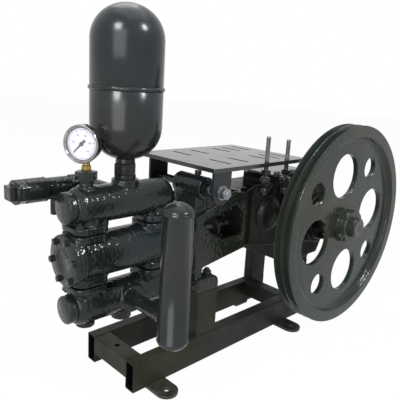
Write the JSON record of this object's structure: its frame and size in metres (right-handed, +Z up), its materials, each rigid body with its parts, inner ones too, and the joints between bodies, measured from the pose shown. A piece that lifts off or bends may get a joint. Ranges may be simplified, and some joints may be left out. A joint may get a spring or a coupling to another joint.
{
  "type": "car wash pump",
  "caption": "Horizontal piston pump on a welded skid, with flywheel, air vessel, relief valve, strainer and motor plate.",
  "frame": {"origin": "On the floor at the centre of the four foot holes", "axes": "+X along the pump towards the flywheel end, +Y away from the flywheel's side, +Z up"},
  "size_m": [0.9065, 0.326, 0.681],
  "materials": {
    "enamel": "glossy dark grey enamel over castings and steel",
    "plate_enamel": "satin grey enamel on plate",
    "dark_enamel": "glossy near-black enamel over rough casting",
    "wheel_enamel": "satin olive-grey enamel over casting",
    "bright_steel": "ground",
    "zinc": "zinc plated",
    "rubber": "black, matte",
    "brass": "machined",
    "gauge_steel": "polished",
    "dial_white": "white, printed"
  },
  "bodies": {
    "base": {"rail_near": "enamel", "rail_far": "enamel", "foot_front_near": "enamel", "foot_front_far": "enamel", "foot_rear_near": "enamel", "foot_rear_far": "enamel", "cross_member_front": "enamel", "cross_member_rear": "enamel", "front_posts": "enamel", "rear_posts": "enamel", "cylinder": "enamel", "cylinder_cover": "enamel", "discharge_manifold": "enamel", "suction_manifold": "enamel", "discharge_end_plug": "enamel", "suction_end_plug": "enamel", "suction_bottom_plugs": "enamel", "air_vessel_upper": "enamel", "air_vessel_lower": "enamel", "air_vessel_neck": "enamel", "gauge_bush": "enamel", "relief_cap": "enamel", "relief_body": "enamel", "relief_elbow": "enamel", "suction_pipe": "enamel", "strainer_tube": "enamel", "strainer_top": "enamel", "strainer_bottom": "enamel", "cradle": "enamel", "gland": "enamel", "motor_plate": "plate_enamel", "plate_leg_near": "plate_enamel", "plate_leg_far": "plate_enamel", "crankcase": "dark_enamel", "crankcase_lid": "dark_enamel", "guide_cover": "dark_enamel", "bearing_cover_near": "dark_enamel", "bearing_cover_far": "dark_enamel", "grease_cap": "dark_enamel", "pivot_bolt": "zinc", "tension_studs": "zinc", "valve_gaskets": "rubber", "gauge_stem": "brass", "gauge_case": "gauge_steel", "gauge_dial": "dial_white"},
    "wheel": {"flywheel": "wheel_enamel", "crankshaft": "wheel_enamel"},
    "rod": {"piston_rod": "bright_steel", "splash_disc": "rubber"}
  },
  "joints": [
    {"name": "wheel_spin", "type": "hinge", "parent": "base", "child": "wheel", "pos_m": [0.277, -0.1565, 0.26], "axis": [0, 1, 0], "continuous": true},
    {"name": "rod_slide", "type": "slide", "parent": "base", "child": "rod", "axis": [1, 0, 0], "range_m": [-0.04, 0.01]}
  ]
}
